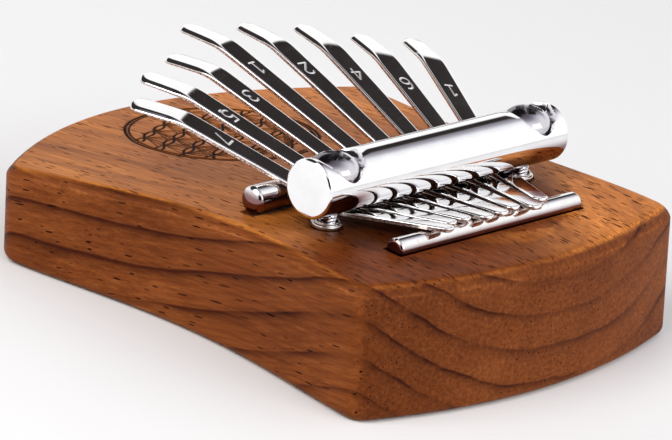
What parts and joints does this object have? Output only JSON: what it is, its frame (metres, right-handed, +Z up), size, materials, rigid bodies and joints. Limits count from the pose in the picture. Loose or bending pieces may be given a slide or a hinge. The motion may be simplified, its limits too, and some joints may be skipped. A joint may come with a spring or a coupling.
{
  "type": "mbira",
  "caption": "Thumb piano with a bowed hardwood board, a round chrome clamp bar with two screws, two bridge rods and fanned steel tines with bent tips.",
  "frame": {"origin": "centre of the underside of the board, at the middle of the bounding box", "axes": "+Z up from the underside, +Y from the heels towards the tine tips, +X along the clamp bar to the right of a player who holds the near end"},
  "size_m": [0.1058, 0.1208, 0.043],
  "materials": {
    "board_wood": "satin varnished reddish-brown hardwood with dark grain",
    "bar_chrome": "polished chrome plate",
    "rod_chrome": "polished chrome plate with light wear",
    "screw_steel": "nickel-plated steel, bright",
    "insert_steel": "nickel-plated steel, bright",
    "tine_steel": "nickel-plated spring steel, bright"
  },
  "bodies": {
    "frame": {"board_body": "board_wood", "clamp_bar": "bar_chrome", "front_bridge_rod": "rod_chrome", "back_bridge_rod": "rod_chrome", "clamp_screw_left": "screw_steel", "clamp_screw_right": "screw_steel", "threaded_insert_left": "insert_steel", "threaded_insert_right": "insert_steel"},
    "tine_1_heel": {"tine_1_heel": "tine_steel"},
    "tine_1_tongue": {"tine_1_tongue": "tine_steel"},
    "tine_2_heel": {"tine_2_heel": "tine_steel"},
    "tine_2_tongue": {"tine_2_tongue": "tine_steel"},
    "tine_3_heel": {"tine_3_heel": "tine_steel"},
    "tine_3_tongue": {"tine_3_tongue": "tine_steel"},
    "tine_4_heel": {"tine_4_heel": "tine_steel"},
    "tine_4_tongue": {"tine_4_tongue": "tine_steel"},
    "tine_5_heel": {"tine_5_heel": "tine_steel"},
    "tine_5_tongue": {"tine_5_tongue": "tine_steel"},
    "tine_6_heel": {"tine_6_heel": "tine_steel"},
    "tine_6_tongue": {"tine_6_tongue": "tine_steel"},
    "tine_7_heel": {"tine_7_heel": "tine_steel"},
    "tine_7_tongue": {"tine_7_tongue": "tine_steel"},
    "tine_8_heel": {"tine_8_heel": "tine_steel"},
    "tine_8_tongue": {"tine_8_tongue": "tine_steel"}
  },
  "joints": [
    {"name": "tine_1_tuning_slide", "type": "slide", "parent": "frame", "child": "tine_1_heel", "axis": [-0.3563, 0.9314, 0.074], "range_m": [-0.001, 0.001]},
    {"name": "tine_1_pluck", "type": "hinge", "parent": "tine_1_heel", "child": "tine_1_tongue", "pos_m": [-0.02781, -0.00978, 0.03104], "axis": [0.921, 0.3756, 0.103], "range_deg": [-4, 2], "stiffness_Nm_per_rad": 7.04},
    {"name": "tine_2_tuning_slide", "type": "slide", "parent": "frame", "child": "tine_2_heel", "axis": [-0.2641, 0.9615, 0.0763], "range_m": [-0.001, 0.001]},
    {"name": "tine_2_pluck", "type": "hinge", "parent": "tine_2_heel", "child": "tine_2_tongue", "pos_m": [-0.02035, -0.00977, 0.03104], "axis": [0.9569, 0.2802, 0.0768], "range_deg": [-4, 2], "stiffness_Nm_per_rad": 6.04},
    {"name": "tine_3_tuning_slide", "type": "slide", "parent": "frame", "child": "tine_3_heel", "axis": [-0.1469, 0.9861, 0.0783], "range_m": [-0.001, 0.001]},
    {"name": "tine_3_pluck", "type": "hinge", "parent": "tine_3_heel", "child": "tine_3_tongue", "pos_m": [-0.01223, -0.00976, 0.03104], "axis": [0.9867, 0.1566, 0.043], "range_deg": [-4, 2], "stiffness_Nm_per_rad": 5.49},
    {"name": "tine_4_tuning_slide", "type": "slide", "parent": "frame", "child": "tine_4_heel", "axis": [-0.0546, 0.9954, 0.079], "range_m": [-0.001, 0.001]},
    {"name": "tine_4_pluck", "type": "hinge", "parent": "tine_4_heel", "child": "tine_4_tongue", "pos_m": [-0.0048, -0.00976, 0.03104], "axis": [0.9982, 0.0584, 0.016], "range_deg": [-4, 2], "stiffness_Nm_per_rad": 4.79},
    {"name": "tine_5_tuning_slide", "type": "slide", "parent": "frame", "child": "tine_5_heel", "axis": [0.0633, 0.9949, 0.079], "range_m": [-0.001, 0.001]},
    {"name": "tine_5_pluck", "type": "hinge", "parent": "tine_5_heel", "child": "tine_5_tongue", "pos_m": [0.0035, -0.00976, 0.03104], "axis": [0.9975, -0.0677, -0.0186], "range_deg": [-4, 2], "stiffness_Nm_per_rad": 5.09},
    {"name": "tine_6_tuning_slide", "type": "slide", "parent": "frame", "child": "tine_6_heel", "axis": [0.177, 0.9811, 0.0779], "range_m": [-0.001, 0.001]},
    {"name": "tine_6_pluck", "type": "hinge", "parent": "tine_6_heel", "child": "tine_6_tongue", "pos_m": [0.01171, -0.00976, 0.03104], "axis": [0.9807, -0.1886, -0.0517], "range_deg": [-4, 2], "stiffness_Nm_per_rad": 5.54},
    {"name": "tine_7_tuning_slide", "type": "slide", "parent": "frame", "child": "tine_7_heel", "axis": [0.2841, 0.9558, 0.0759], "range_m": [-0.001, 0.001]},
    {"name": "tine_7_pluck", "type": "hinge", "parent": "tine_7_heel", "child": "tine_7_tongue", "pos_m": [0.02002, -0.00977, 0.03104], "axis": [0.9501, -0.301, -0.0825], "range_deg": [-4, 2], "stiffness_Nm_per_rad": 6.3},
    {"name": "tine_8_tuning_slide", "type": "slide", "parent": "frame", "child": "tine_8_heel", "axis": [0.4072, 0.9105, 0.0723], "range_m": [-0.001, 0.001]},
    {"name": "tine_8_pluck", "type": "hinge", "parent": "tine_8_heel", "child": "tine_8_tongue", "pos_m": [0.02863, -0.00979, 0.03104], "axis": [0.8965, -0.4273, -0.1172], "range_deg": [-4, 2], "stiffness_Nm_per_rad": 6.76}
  ]
}
